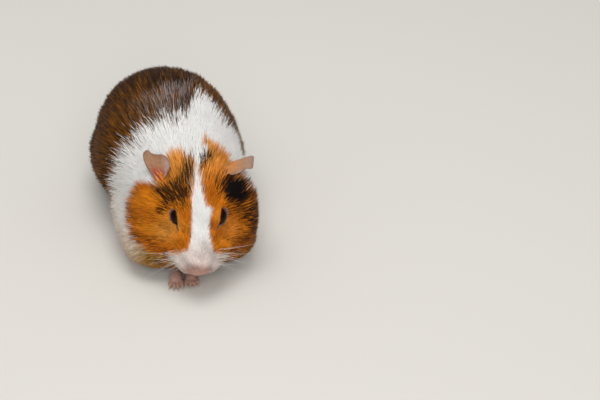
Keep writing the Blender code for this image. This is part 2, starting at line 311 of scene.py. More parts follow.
# %% Where each eye is and which way it looks
EYE_OUT, EYE_SHIFT, EYE_ALONG, EYE_ABOVE = 14.2, 0.9, 45.7, 4  # centres of the balls in the head frame, mm
EYE_CENTRES = {side: HEAD @ mm(EYE_OUT * sign + EYE_SHIFT, EYE_ALONG, EYE_ABOVE)
               for side, sign in SIDES.items()}
EYE_RADIUS = 7.5  # mm
EYE_RISE = math.radians(22)  # how far above sideways each eye looks
EYE_YAW, EYE_FORWARD = 0.12, -0.14  # both eyes are turned to the animal's left, and a little forwards
SLIT_BACK, SLIT_FRONT = 78, 80  # half length of the slit in degrees, towards its back and front corners
SLIT_UP, SLIT_DOWN = 53, 44  # half height of the slit in degrees
EYE_REGION = 13  # mm from a ball's centre: further out, nothing belongs to the eye


def eye_axes(side):
    """The way an eye looks, the way its slit runs to the back of the head, and up across the slit."""
    turn, sign = HEAD.to_3x3(), SIDES[side]
    look = Vector((math.cos(EYE_RISE) * sign + EYE_YAW, EYE_FORWARD, math.sin(EYE_RISE)))
    look = (turn @ look).normalized()
    back = turn @ Vector((0.0, 1.0, 0.0))
    back = (back - look * back.dot(look)).normalized()
    return look, back, look.cross(back) * sign


def eye_angles(points, side):
    """Each point's distance from an eye's centre, its direction, and that as angles along and above."""
    look, back, up = (np.array(axis) for axis in eye_axes(side))
    offset = points - np.array(EYE_CENTRES[side])
    radius = size_of(offset)
    unit = offset / radius[:, None]
    tilt = np.arccos(np.clip(unit @ look, -1, 1))
    across = np.maximum(np.sin(tilt), 1e-6)
    along = np.degrees(tilt) * (unit @ back) / across
    above = np.degrees(tilt) * (unit @ up) / across
    return radius * 1000, unit, along, above


def lid_edge(along, above):
    """Half height of the almond at that angle along it; below zero outside its corners."""
    half = np.where(above > 0, SLIT_UP, SLIT_DOWN)
    reach = np.where(along > 0, SLIT_BACK, SLIT_FRONT)
    return half * (1 - (along / reach) ** 2)


for side in SIDES:
    print(side, "eye looks towards", eye_axes(side)[0].to_tuple(2))


# %% Distances from the eyes
def near_eyes(points):
    return np.min([size_of(points - np.array(c)) for c in EYE_CENTRES.values()], axis=0) * 1000


def beyond_slits(points):
    """Degrees outside the nearer almond, more where the skin stands off the ball; 90 away from the eyes."""
    least = np.full(len(points), 90.0)
    for side in SIDES:
        radius, _, along, above = eye_angles(points, side)
        stands_off = np.maximum(radius - EYE_RADIUS - 0.7, 0)
        beyond = np.abs(above) - lid_edge(along, above) + 35 * stands_off
        least = np.where(radius < EYE_REGION, np.minimum(least, beyond), least)
    return least


print("from the nose to the eyes", near_eyes(np.array([NOSE])).round(1), "mm")

# %% Tear lines
TEAR_LENGTH = 5.5  # how far the bare line runs on from the front corner of the slit, mm


def tear_line(side):
    """Both ends of the bare line that runs forward from the front corner of an eye."""
    look, back, up = eye_axes(side)
    turn = math.radians(SLIT_FRONT - 8)
    corner = EYE_CENTRES[side] + (look * math.cos(turn) - back * math.sin(turn)) * (EYE_RADIUS + 0.3) / 1000
    ahead = (-back + up * 0.35 + look * 0.25).normalized()
    return corner, corner + ahead * TEAR_LENGTH / 1000


TEAR_LINES = {side: tear_line(side) for side in SIDES}


def near_tears(points):
    """Distance to the nearer tear line, in millimetres."""
    gaps = []
    for corner, end in TEAR_LINES.values():
        line = np.array(end - corner)
        share = np.clip((points - np.array(corner)) @ line / (line @ line), 0, 1)
        gaps.append(size_of(points - np.array(corner) - share[:, None] * line))
    return np.min(gaps, axis=0) * 1000


print("tear lines start at", [corner.to_tuple(4) for corner, _ in TEAR_LINES.values()])

# %% [markdown]
# ## How deep the coat is
# The coat is deepest on the body, five or six millimetres, and thins towards the muzzle, the rims of the
# eyes and the feet. Lengths, widths and depths all grow with the distance from the nose, so each is one
# curve, made smaller near the eyes and near the feet.

# %% Distances from the nose and the feet
WHISKER_PAD, PAD_SIZE = (12.5, 14, -8), (7, 9, 9)  # centre and half sizes of a pad in the head frame, mm
FEET_CENTRES = [sum(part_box(name), Vector()) / 2 for name in FEET]


def from_nose(points):
    return size_of(points - np.array(NOSE)) * 1000


def nose_pad(points):
    """1 on the edge of the bare nose, smaller on it."""
    return size_of((into(HEAD, points) - (0, 0, -1)) / (10.0, 8.0, 9.0))


def on_pads(points):
    """1 on the whisker pads beside the nose, 0 away from them."""
    place = into(HEAD, points)
    place[:, 0] = np.abs(place[:, 0])
    return 1 - smoothstep(size_of((place - WHISKER_PAD) / PAD_SIZE), 0.6, 1.3)


def near_feet(points):
    """0 at the feet and shins, 1 a few centimetres away from them."""
    gaps = [size_of((points - np.array(centre)) * (1, 0.8, 1)) for centre in FEET_CENTRES]
    return smoothstep(np.min(gaps, axis=0) * 1000, 12, 26)


def foot_gap(points):
    """Distance to the nearest foot, in half sizes of its box: below 1 inside the box."""
    gaps = []
    for centre, name in zip(FEET_CENTRES, FEET):
        low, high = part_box(name)
        half = np.array(high - low) / 2 + 0.0015
        gaps.append(size_of((points - np.array(centre)) / half))
    return np.min(gaps, axis=0)


print("feet at", [centre.to_tuple(3) for centre in FEET_CENTRES])


# %% Depth, length and width of the hair, in millimetres
def coat_depth(points):
    depth = np.interp(from_nose(points), [0, 8, 20, 40, 70, 100], [0.25, 0.5, 1.3, 2.3, 4.0, 5.5])
    depth *= np.interp(near_eyes(points), [8, 12, 20], [0.35, 0.6, 1.0])
    depth *= np.interp(near_tears(points), [1.0, 4.0], [0.15, 1.0])
    depth *= 0.35 + 0.65 * near_feet(points)
    return depth * (0.6 + 0.4 * smoothstep(points[:, 2] * 1000, 4, 22))


def hair_length(points):
    length = np.interp(from_nose(points), [0, 12, 25, 45, 70, 100], [1.8, 2.8, 4.8, 8.5, 12.5, 17.0])
    length *= np.interp(near_eyes(points), [7.5, 11, 20], [0.28, 0.5, 1.0])
    length *= np.interp(near_tears(points), [0.8, 4.0], [0.35, 1.0]) * (1 + 0.9 * on_pads(points))
    return length * (0.35 + 0.65 * near_feet(points))


def tuft_width(points):
    width = np.interp(from_nose(points), [0, 25, 60, 100], [0.30, 0.42, 0.55, 0.62])
    return width * np.interp(near_eyes(points), [7.5, 18], [0.6, 1.0]) * (0.6 + 0.4 * near_feet(points))


points = rows(flesh_mesh.vertices, "co")
depths = coat_depth(points)
print("coat", depths.min().round(2), "to", depths.max().round(2), "mm deep")

# %% Sink the skin below the tips of the coat
FINER_NEAR_EYES, FINER_NEAR_NOSE = (13.0, 12.0), (14.0, 12.5)  # the net is halved twice in these reaches, mm

points -= rows(flesh_mesh.vertex_normals, "vector") * (depths[:, None] / 1000)
flesh_mesh.vertices.foreach_set("co", points.astype(np.float32).ravel())
flesh_mesh.update()
skin_shape = bmesh.new()
skin_shape.from_mesh(flesh_mesh)
for _ in range(3):  # light rounds, against the creases that sinking leaves
    bmesh.ops.smooth_vert(
        skin_shape, verts=skin_shape.verts, factor=0.5, use_axis_x=True, use_axis_y=True, use_axis_z=True)
for reach_eye, reach_nose in zip(FINER_NEAR_EYES, FINER_NEAR_NOSE):
    skin_shape.verts.ensure_lookup_table()
    where = np.array([v.co for v in skin_shape.verts])
    wanted = (near_eyes(where) < reach_eye) | (near_tears(where) < 3) | (from_nose(where) < reach_nose)
    edges = [e for e in skin_shape.edges if wanted[e.verts[0].index] and wanted[e.verts[1].index]]
    bmesh.ops.subdivide_edges(skin_shape, edges=edges, cuts=1, use_grid_fill=True, smooth=0.4)
    skin_shape.verts.index_update()
print("skin with finer eyes and muzzle:", len(skin_shape.faces), "faces")

# %% [markdown]
# ## Lids
# The skin over each ball is described by directions from the ball's centre. Inside the almond it is drawn in
# behind the eyeball, and outside it lies on the ball with the lid's own thickness, a little swollen at the
# margin. The fold at the slit's edge comes from that step.

# %% Shape the lids
LID = 0.55  # thickness, mm
BEHIND_BALL = 0.86  # how far in the skin goes inside the slit, as a share of the ball's radius
MARGIN_SWELL = 0.28  # mm
LIDS_REACH = 115  # degrees from where the eye looks to where its lids end

where = np.array([v.co for v in skin_shape.verts])
for side in SIDES:
    radius, unit, along, above = eye_angles(where, side)
    outside = np.abs(above) - lid_edge(along, above)  # degrees outside the almond, above or below
    on_ball = 1 - smoothstep(radius, EYE_RADIUS + 2.0, EYE_RADIUS + 3.0)
    open_share = (1 - smoothstep(outside, -5, 0)) * on_ball
    margin = MARGIN_SWELL * np.exp(-((outside - 4) / 5) ** 2) * (np.abs(along) < SLIT_BACK + 12)
    closed = np.maximum(radius, EYE_RADIUS + LID)
    target = closed * (1 - open_share) + EYE_RADIUS * BEHIND_BALL * open_share + margin * (1 - open_share)
    near = (radius < EYE_REGION) & (np.hypot(along, above) < LIDS_REACH)
    target = np.where(near, target, closed)
    where = np.array(EYE_CENTRES[side]) + unit * (target / 1000)[:, None]
    print(side, "slit opens", int((open_share > 0.5).sum()), "points of the net")

# %% [markdown]
# ## Nostrils and mouth
# The nose is a small pad with two narrow nostrils. A groove runs down from between them to the lips. All
# are shallow dents, pressed into the net where it is finest.

# %% Press in the nostrils, the groove and the mouth
NOSTRIL, NOSTRIL_SIZE = (4.3, 1.0, -1.5), (1.5, 3.0, 0.9)  # in the head frame, mm
NOSTRIL_DEPTH, GROOVE_DEPTH, MOUTH_DEPTH = 1.6, 0.7, 0.9  # mm
MOUTH_DROP = 12.5  # from the head's axis down to the lips, mm
LINE_WIDTH = 0.7  # half width of the groove and the line of the mouth, mm

in_head = into(HEAD, where)
x, along, height = in_head.T
press = np.zeros(len(where))
for sign in SIDES.values():
    gap = (in_head - (NOSTRIL[0] * sign, *NOSTRIL[1:])) / NOSTRIL_SIZE
    press += NOSTRIL_DEPTH * np.exp(-(gap**2).sum(axis=1))
groove = np.exp(-((np.abs(x) / LINE_WIDTH) ** 2))
press += GROOVE_DEPTH * groove * smoothstep(-height, 3.0, 4.5) * (along < 12)
mouth = np.exp(-(((height + MOUTH_DROP - 0.35 * np.abs(x)) / LINE_WIDTH) ** 2))
press += MOUTH_DEPTH * mouth * (np.abs(x) < 9) * (along < 16)
for vertex, place in zip(skin_shape.verts, where):
    vertex.co = place
skin_shape.normal_update()
for vertex, depth in zip(skin_shape.verts, press):
    if depth > 0.01:
        vertex.co -= vertex.normal * (depth / 1000)
print("deepest dent", round(press.max(), 2), "mm")

# %% Add the feet and keep the skin
skin_shape.from_mesh(feet_mesh)
for vertex in skin_shape.verts:
    vertex.co.z = max(vertex.co.z, 0.0)
skin_tree = BVHTree.FromBMesh(skin_shape)
print("skin triangles", sum(len(face.verts) - 2 for face in skin_shape.faces))
skin_mesh = as_mesh(skin_shape, "skin")
skin_mesh.shade_smooth()

# %% [markdown]
# ## The markings
# The coat is white with a dark saddle over the rump, ginger cheeks and crown, a white blaze down the face,
# a dark brow and a black patch behind the left eye. Each marking is an outline in a plan of the head, seen
# square to the face, or one line across the body. Skin and hair ask the same function for their colour, so
# they always agree. A little disorder at each border makes the hairs run into each other.

# %% Outlines of the markings, in millimetres
FACE_GINGER_RIGHT = [(-5.5, 14.6), (-24.4, 18.1), (-40.6, 23.6), (-53.5, 33.9), (-57.8, 49.8),
                     (-57.2, 63.8), (-51.5, 72.2), (-46.5, 75.4), (-35.3, 70.8), (-30.4, 75),
                     (-26.9, 87.1), (-21.2, 97.4), (-12.3, 98.7), (-5, 91.9), (-1.9, 90), (0.6, 74.1)]
FACE_GINGER_LEFT = [(11.5, 14.5), (26.7, 19), (40.4, 26.5), (57, 38.1), (60.4, 54.2), (58.1, 64.2),
                    (42.8, 71.6), (35.5, 79.4), (28.3, 85.1), (26, 93), (22.5, 101), (14.5, 107),
                    (5.2, 113.5), (4.0, 107), (8.7, 99), (6, 92.3), (-0.5, 78.1)]
BLAZE = [(-1.2, 80.1), (1.5, 78.1), (2.4, 70.2), (4.7, 58.2), (7, 50.3), (12.1, 48), (10.8, 42.5),
         (9.4, 35.4), (9.9, 22.4), (12.2, 15.5), (15.9, 12.6), (18.6, -7.4), (-17.4, -8.6),
         (-14.6, 11.4), (-7.6, 14.6), (-4.3, 20.8), (-3.4, 32.8), (-3.2, 46.8), (-3.7, 55.9), (-1.7, 68)]
BROW = [(-36.2, 68.8), (-25.2, 69.8), (-12.9, 75.3), (-9, 91), (-3, 93), (-1.5, 72), (-4.5, 57.9),
        (-8.9, 49.4), (-18.4, 52.4), (-24.6, 52.2), (-31.2, 60.9)]
BLACK_PATCH = [(22.5, 72.9), (30, 76.5), (37, 73), (39.5, 62.5), (35.5, 57), (29, 55.6), (22.2, 57.9)]
BLACK_EDGE = [(13.5, 74), (27.4, 83), (41.7, 74.6), (52, 64), (54, 48), (50, 36), (42, 34),
              (33, 44), (25.4, 52), (15, 62)]
CROWN_DARK = [(0.3, 84.1), (1.9, 93.2), (5.7, 99.3), (11.8, 98.5), (13, 91.6), (7.3, 84.4), (3.4, 80.2)]
DARK_SPOT = (-29.0, 49.8)
SADDLE_EDGE = [(-90, 97), (-68, 98), (-46, 102), (-28, 109), (-10, 112), (-3, 117), (0, 130), (4, 150),
               (8, 153), (14, 150), (18, 144), (23, 136), (28, 131), (38, 130), (60, 134)]
print("the blaze is", max(x for x, _ in BLAZE) - min(x for x, _ in BLAZE), "mm wide at the muzzle")

# %% Colours of the hair and the bare skin
COLOURS = {name: np.array(linear(code)) for name, code in {
    # the yellow used low down in front is partly the hair's own colour, partly painted light reflected from
    # the ground
    "white": "#f6f3ee", "cream_with_painted_light": "#c99c55", "ginger": "#f0921a", "deep ginger": "#c26404",
    "pale ginger": "#f2ac55", "brown": "#6c380a", "dark": "#45290b", "darkest": "#1c0c03",
    # sheen: grey hair mixed with painted sheen, for the top of the rump
    "ticking": "#8a5410", "sheen": "#a09089", "black": "#0b0502", "pink": "#ae8674", "nose": "#b58573",
    # throat: partly the hair's own colour, partly painted shade under the chin
    "lid": "#54434a", "muzzle": "#e0cfc6", "throat": "#b4853a", "ear tan": "#a07656",
    # ear rim: partly the rim's own colour, partly painted shade; ear lilac: on the right ear's lobe partly
    # painted sheen
    "ear lilac": "#b59890", "ear red": "#a23812", "ear rim and edge shade": "#6e4f4a"}.items()}


def mixed(first, second, share):
    """Two colours mixed point by point; a colour is a name in COLOURS, or a row for each point."""
    first, second = (COLOURS[item] if isinstance(item, str) else item for item in (first, second))
    return first * (1 - share[:, None]) + second * share[:, None]


def outside_of(outline, x, y):
    """Distance to a closed outline in millimetres: below zero inside it."""
    inside = np.zeros(len(x), bool)
    nearest = np.full(len(x), 1e9)
    for (x0, y0), (x1, y1) in zip(outline, outline[1:] + outline[:1]):
        dx, dy = x1 - x0, y1 - y0
        share = np.clip(((x - x0) * dx + (y - y0) * dy) / (dx * dx + dy * dy), 0, 1)
        nearest = np.minimum(nearest, np.hypot(x - x0 - share * dx, y - y0 - share * dy))
        crosses = (y0 > y) != (y1 > y)
        meet = x0 + (y - y0) * dx / (dy if dy else 1e-9)
        inside ^= crosses & (x < meet)
    return np.where(inside, -nearest, nearest)


print(len(COLOURS), "colours; linear ginger is", COLOURS["ginger"].round(3))


# %% Ginger hairs
def ginger_hair(x, along, height, tone, patchy, strands):
    """Palest round the eyes and behind, deeper by the blaze, browner low on the sides, partly painted shade
    under the cheeks, streaked.
    """
    by_blaze = 1 - smoothstep(np.abs(x - 2), 9, 20)
    deep = np.clip(0.40 + 0.3 * by_blaze + 0.35 * tone + 0.35 * patchy, 0, 1)
    ginger = mixed("ginger", "deep ginger", deep)
    eye_gap = np.minimum(np.hypot(x + 24, along - 35), np.hypot(x - 24, along - 37))
    paler = np.maximum(smoothstep(along, 66, 86), 0.9 * np.exp(-eye_gap ** 2 / 90))
    ginger = mixed(ginger, "pale ginger", paler * np.clip(0.5 - 0.4 * tone - 0.3 * patchy, 0, 1))
    inside = -np.minimum(outside_of(FACE_GINGER_RIGHT, x, along), outside_of(FACE_GINGER_LEFT, x, along))
    low_edge_and_shade = (1 - smoothstep(inside, 3, 15)) * (1 - smoothstep(along, 36, 52))
    low_edge_and_shade *= smoothstep(np.abs(x - 1), 18, 30)
    # painted shade: deeper and browner lower down the head, under the cheeks
    low_edge_and_shade = np.maximum(1.15 * low_edge_and_shade, smoothstep(-height, 3, 18))
    ginger = mixed(ginger, "deep ginger", np.maximum(0.7 * low_edge_and_shade, 0.5 * smoothstep(x, 8, 30)))
    browner = 0.10 + 0.46 * low_edge_and_shade + 0.34 * smoothstep(x, 22, 46)
    return mixed(ginger, "brown", smoothstep(strands, 0.9 - 2 * browner, 1.7 - 2 * browner) * 0.95)


def one_place(*numbers):
    return [np.array([float(number)]) for number in numbers]


print("on a cheek", ginger_hair(*one_place(30, 40, 0, 0, 0, 0)).round(2))


# %% Saddle hairs
def saddle_hair(spine, behind, tone, patchy):
    """Near black hairs ticked with brown; on the spine, more and more grey towards the front edge: partly
    white hairs mixed in there, partly painted sheen on the top of the rump.
    """
    grey = (0.06 + 0.94 * spine) * np.interp(behind, [-10, 8, 16, 34, 54], [0.52, 0.36, 0.40, 0.72, 0.08])
    dark = mixed("dark", "darkest", smoothstep(-tone - 0.4 * patchy, -0.3, 0.6))
    brown_ticks = 0.20 + (1 - spine) * np.interp(behind, [0, 30, 75], [0.42, 0.36, 0.10])
    dark = mixed(dark, "ticking", smoothstep(tone, 1 - 2 * brown_ticks, 1.4 - 2 * brown_ticks))
    # painted sheen: grey tufts on the top of the rump, partly white hairs mixed in near the front edge
    shine = smoothstep(-tone, 1 - 2 * grey, 1.4 - 2 * grey)
    return mixed(dark, "sheen", 0.85 * shine)


print("on the saddle", saddle_hair(*one_place(1, 20, 0, 0)).round(3))


# %% The colour of the coat anywhere
def coat_colour(points, stray, tone):
    """Linear colour of the coat at each point. stray moves a hair over the borders, tone picks its shade."""
    head, body = into(HEAD, points), into(NOSE_FLOOR, points)
    x, along, height = head.T
    across, back, up = body.T

    def covers(outline, soft):
        return 1 - smoothstep(outside_of(outline, x, along) + stray * soft, -soft, soft)

    patchy = 0.5 * wander(points, 0.013, 21)  # broad lighter and darker areas, about -1 to 1
    strands = tone + 0.3 * wander(points, 0.004, 22)
    # white, yellower low down in front: partly the hair's own colour, partly painted warm light reflected up
    # from the ground
    low = (1 - smoothstep(up + 5 * stray, 6, 60)) * (1 - smoothstep(back, 80, 140))
    colour = mixed("white", "cream_with_painted_light", np.clip(0.85 * low ** 1.3, 0, 1))
    # the throat, sandy with brown: partly the hair's own colour, partly painted shade under the chin
    facing = smoothstep(height, -62, -40)  # the face and crown, and not the chest under them
    near_chin = 1 - smoothstep(-x, 26, 46)
    sand_and_shade = mixed("throat", "brown", 0.9 * smoothstep(tone + 0.7 * near_chin, -0.2, 0.9))
    throat = facing * (1 - smoothstep(along + 5 * stray, 46, 66)) * smoothstep(3 * stray - height, 5, 15)
    throat *= 1 - smoothstep(4 * stray - x, 40, 56)
    colour = mixed(colour, sand_and_shade, throat)
    # ginger cheeks and crown
    jaw = np.interp(x, [-30, 0, 30], [-27, -24, -32])  # below this height the ginger breaks up
    chin = smoothstep(height + 6 * stray, jaw - 7, jaw + 7)
    cheek = np.maximum(covers(FACE_GINGER_RIGHT, 1.6), covers(FACE_GINGER_LEFT, 1.6))
    ginger = ginger_hair(x, along, height, tone, patchy, strands)
    colour = mixed(colour, ginger, cheek * facing * chin)
    # dark hairs mixed into the ginger
    spot_gap = np.hypot(x - DARK_SPOT[0], along - DARK_SPOT[1])
    dark_share = np.maximum.reduce([
        0.85 * covers(BROW, 3.0), 0.72 * covers(BLACK_EDGE, 4.0), 0.7 * covers(CROWN_DARK, 2.0),
        0.80 * (1 - smoothstep(spot_gap + stray, 2.0, 4.2))])
    chosen = smoothstep(dark_share - 0.5 + 0.42 * tone, -0.10, 0.10) * facing * chin
    colour = mixed(colour, "darkest", 0.92 * chosen)
    colour = mixed(colour, "black", covers(BLACK_PATCH, 2.0) * facing * chin)
    # the blaze, pinker towards the nose
    muzzle = mixed("white", "muzzle", 1 - smoothstep(np.hypot(along, height), 14, 34))
    blaze = covers(BLAZE, 0.9 + 1.3 * smoothstep(along, 48, 66)) * smoothstep(height + 5 * stray, -34, -20)
    colour = mixed(colour, muzzle, blaze)
    # the dark saddle, its grey on top partly painted sheen
    behind = back - np.interp(across, *zip(*SADDLE_EDGE)) + 3.5 * patchy
    top = smoothstep(up, 60, 94)
    spine = np.interp(across, [-60, -42, -24, -6, 10], [0, 0.4, 1, 1, 0]) * top
    saddle = smoothstep(behind + stray * (7 + 4 * top), -1.6, 1.6)
    return mixed(colour, saddle_hair(spine, behind, tone, patchy), saddle)


print("at the nose", coat_colour(np.array([NOSE]), *one_place(0, 0)).round(2))


# %% Colour the skin
def store_colour(mesh, colours):
    layer = mesh.color_attributes.new("coat_colour", "FLOAT_COLOR", "POINT")
    values = np.ones((len(colours), 4), np.float32)
    values[:, :3] = colours
    layer.data.foreach_set("color", values.ravel())


points = rows(skin_mesh.vertices, "co")
still = np.zeros(len(points))
colours = coat_colour(points, still, still)
colours = mixed(colours, "nose", 0.9 * (1 - smoothstep(nose_pad(points), 0.80, 1.30)))
colours = mixed(colours, "lid", 1 - smoothstep(beyond_slits(points), 3, 9))
colours = mixed(colours, "black", 0.85 * (1 - smoothstep(near_tears(points), 0.3, 1.0)))
colours = mixed(colours, "pink", 1 - smoothstep(foot_gap(points), 1.25, 1.6))
store_colour(skin_mesh, colours)
print("mean colour of the skin", colours.mean(axis=0).round(2))

# %% [markdown]
# ## Skin material
# Living skin under short hair: soft, matt, with light that goes a little way in and comes out pink. Fine
# noise stands for the short hair and pores. A pore is a few tenths of a millimetre wide, and is drawn at
# about a millimetre so that it shows.

# %% Skin material
def mottled(material, grain, detail, low, high):
    """The colours stored in the mesh, lighter and darker by noise of that grain in metres; and the noise."""
    place = add(material, "ShaderNodeTexCoord").outputs["Object"]
    marking = add(material, "ShaderNodeAttribute", attribute_name="coat_colour").outputs["Color"]
    noise = add(material, "ShaderNodeTexNoise", {"Vector": place, "Scale": 1 / grain, "Detail": detail})
    noise = noise.outputs["Fac"]  # mostly between 0.3 and 0.7
    shade = add(material, "ShaderNodeMapRange", {
        "Value": noise, "From Min": 0.3, "From Max": 0.7, "To Min": low, "To Max": high}).outputs["Result"]
    tint = add(material, "ShaderNodeVectorMath", {0: marking, 1: shade}, operation="MULTIPLY")
    return tint.outputs["Vector"], noise


skin = new_material("haired skin")
tint, pores = mottled(skin, grain=0.0012, detail=4.0, low=0.72, high=1.04)
bump = add(skin, "ShaderNodeBump", {"Height": pores, "Strength": 0.35, "Distance": 0.0003})
shader = add(skin, "ShaderNodeBsdfPrincipled", {
    "Base Color": tint, "Roughness": 0.6, "Subsurface Weight": 0.15, "Subsurface Scale": 1.0,
    "Subsurface Radius": (0.0012, 0.0005, 0.0003), "Normal": bump.outputs["Normal"]})
add(skin, "ShaderNodeOutputMaterial", {"Surface": shader.outputs["BSDF"]})
finished("skin", skin_mesh, skin, "coat", *FLESH, *FEET)

# %% [markdown]
# ## The lie of the coat
# Hair grows away from the nose: back over the crown and down the flanks. So at each root the way is drawn
# from the nose to the root, bent downwards on the sides, and then laid flat on the skin.

# %% Which way the hair lies
def lie_of_hair(points, normals):
    """Unit directions along the skin, away from a place just behind the tip of the nose."""
    way = points - np.array(HEAD @ mm(0, 4, -1))
    way /= size_of(way)[:, None]
    way[:, 2] -= np.interp(from_nose(points), [0, 25, 60, 110, 200], [0.05, 0.25, 0.55, 0.40, 0.45])
    way -= normals * (way * normals).sum(axis=1)[:, None]
    return way / np.maximum(size_of(way), 1e-6)[:, None]


print("on top of the rump", lie_of_hair(np.array([[0, 0.1, 0.1]]), np.array([[0, 0, 1.0]])).round(2))

# %% [markdown]
# ## Tufts
# A tuft is a lock of a few hairs, so it is a thin three-sided blade that tapers to a point. It starts on
# the skin and is combed: at each step it moves along the lie of the hair, comes back to the skin and
# rises to the coat's depth. So its tip ends at the true outline. Thousands of them in one mesh are
# joined from arrays, because each is the same few faces.

# %% The skin's faces as arrays
RNG = np.random.default_rng(7)
FEWER, WIDER = ((1.0, 1.0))
skin_points = rows(skin_mesh.vertices, "co")
face_centre = rows(skin_mesh.polygons, "center")
face_area = np.array([polygon.area for polygon in skin_mesh.polygons])
face_corners = []
for polygon in skin_mesh.polygons:
    corners = list(polygon.vertices)
    face_corners.append(corners[:4] if len(corners) >= 4 else corners + corners[:1])
face_corners = np.array(face_corners)
face_normal = rows(skin_mesh.vertex_normals, "vector")[face_corners].mean(axis=1)
face_normal /= size_of(face_normal)[:, None]
print("skin", round(face_area.sum() * 1e4), "square centimetres in", len(face_area), "faces")


# %% Places on the skin
def on_skin(points):
    """The nearest place on the skin to each point, and the skin's smooth normal there."""
    places, faces = np.empty_like(points), np.empty(len(points), int)
    for index, point in enumerate(points):
        place, _, face, _ = skin_tree.find_nearest(Vector(point))
        places[index], faces[index] = place, face
    return places, face_normal[faces]


def scatter(density):
    """Root places on the skin: so many per square millimetre of each face."""
    wanted = face_area * 1e6 * density
    count = np.floor(wanted + RNG.random(len(wanted))).astype(int)
    faces = np.repeat(np.arange(len(wanted)), count)
    u, v = RNG.random(len(faces))[:, None], RNG.random(len(faces))[:, None]
    a, b, c, d = (skin_points[face_corners[faces, k]] for k in range(4))
    return (a * (1 - u) + b * u) * (1 - v) + (d * (1 - u) + c * u) * v, faces


def pelt(points):
    """The skin unrolled like a pelt: the angle round the body's long axis, and the way from nose to tail."""
    across, back, up = into(NOSE_FLOOR, points).T
    return np.stack([np.arctan2(across - middle_line(back), up - 40), back], axis=1)


def middle_line(back):
    """Where the body's middle is across the floor, so far back from the nose."""
    return np.interp(back, [0, 60, 120, 230], [0, 0, -16, -28])


print("the rump swings", -middle_line(230), "mm to the right")


# %% The faces of a blade, and many blades in one mesh
def blade_faces(rings):
    """Corners of the faces: quads up the three sides, then the foot and the triangles of the tip."""
    sides = ((0, 1), (1, 2), (2, 0))
    quads = []
    for low in range(0, 3 * (rings - 2), 3):
        quads += [(low + i, low + 3 + i, low + 3 + j, low + j) for i, j in sides]
    last = 3 * (rings - 2)
    triangles = [(0, 1, 2)] + [(last + i, last + 3, last + j) for i, j in sides]
    return np.array(quads), np.array(triangles)


def blade_mesh(name, verts, rings):
    """One mesh of equal blades; verts is (blade, vertex, xyz). Also gives the corners of its faces."""
    count, per = verts.shape[:2]
    offsets = (np.arange(count) * per)[:, None, None]
    quads, triangles = ((one[None] + offsets).reshape(-1) for one in blade_faces(rings))
    loops = np.concatenate([quads, triangles]).astype(np.int32)
    sizes = np.concatenate([np.full(len(quads) // 4, 4), np.full(len(triangles) // 3, 3)])
    starts = np.concatenate([[0], np.cumsum(sizes)[:-1]]).astype(np.int32)
    mesh = bpy.data.meshes.new(name)
    mesh.vertices.add(count * per)
    mesh.vertices.foreach_set("co", verts.astype(np.float32).ravel())
    mesh.loops.add(len(loops))
    mesh.loops.foreach_set("vertex_index", loops)
    mesh.polygons.add(len(sizes))
    mesh.polygons.foreach_set("loop_start", starts)
    mesh.update(calc_edges=True)
    mesh.shade_smooth()
    return mesh, loops


print("a blade of 4 rings has", [len(faces) for faces in blade_faces(4)], "quads and triangles")

# %% Blades from arrays
LOCK_ROUNDNESS = 0.45  # how much light sees a lock's own round shape, beside the slope of the skin under it
PATCH = 0.003  # the width of a tuft's patch in the map for baking
# painted light: a tuft's tip is a little lighter than its marking
TIP_PAINTED_LIGHT = 1.08
LOWEST = 0.0002  # hair stays above the floor


def blades(name, centres, across, upward, half_width, ridge, colours, patch):
    """Tapering three-sided blades: arrays are (blade, ring, xyz), the last ring is the tip."""
    count, rings = centres.shape[:2]
    body = slice(0, rings - 1)
    to_side = across[:, body] * half_width[:, body, None]
    to_crest = upward[:, body] * ridge[:, body, None]
    corners = [centres[:, body] - to_side, centres[:, body] + to_side, centres[:, body] + to_crest]
    verts = np.stack(corners, axis=2).reshape(count, -1, 3)
    verts = np.concatenate([verts, centres[:, -1:]], axis=1)
    verts[..., 2] = np.maximum(verts[..., 2], LOWEST)
    mesh, loops = blade_mesh(name, verts, rings)
    # each corner's slope lies between the skin's and the lock's own
    lean = across[:, body] * LOCK_ROUNDNESS
    slopes = [upward[:, body] - lean, upward[:, body] + lean, upward[:, body]]
    slopes = np.stack(slopes, axis=2).reshape(count, -1, 3)
    slopes = np.concatenate([slopes, upward[:, -1:]], axis=1).reshape(-1, 3)
    mesh.normals_split_custom_set_from_vertices(slopes / size_of(slopes)[:, None])
    # painted shade: each tuft is darker towards its root, where tufts shade each other deep in the coat, most
    # of all dark hair; its tip is painted a little lighter, as light on the outside of the coat
    rise = np.linspace(0, 1, rings)
    climb = np.append(np.repeat(rise[:-1], 3), 1.0)
    painted_root_shade = np.interp(colours.mean(axis=1), [0.05, 0.3, 0.7], [0.60, 0.66, 0.95])
    shade = painted_root_shade[:, None] + (TIP_PAINTED_LIGHT - painted_root_shade[:, None]) * climb[None]
    store_colour(mesh, (colours[:, None, :] * shade[:, :, None]).reshape(-1, 3))
    # the map for baking: a small patch for each tuft, at its root's place on the pelt
    local = np.array([(x, y) for y in rise[:-1] for x in (0.0, 1.0, 0.5)] + [(0.5, 1.0)]) - 0.5
    flat = (patch[:, None, :] + PATCH * local[None]).reshape(-1, 2)
    layer = mesh.uv_layers.new(name="OFBake")
    layer.data.foreach_set("uv", np.clip(flat[loops], 0, 1).astype(np.float32).ravel())
    return mesh


print("each tuft's patch is", PATCH, "of the map's width")


# %% Comb tufts over the skin
FLARE_RISE = 3.2  # how far a hair that stands off lifts its tip, mm


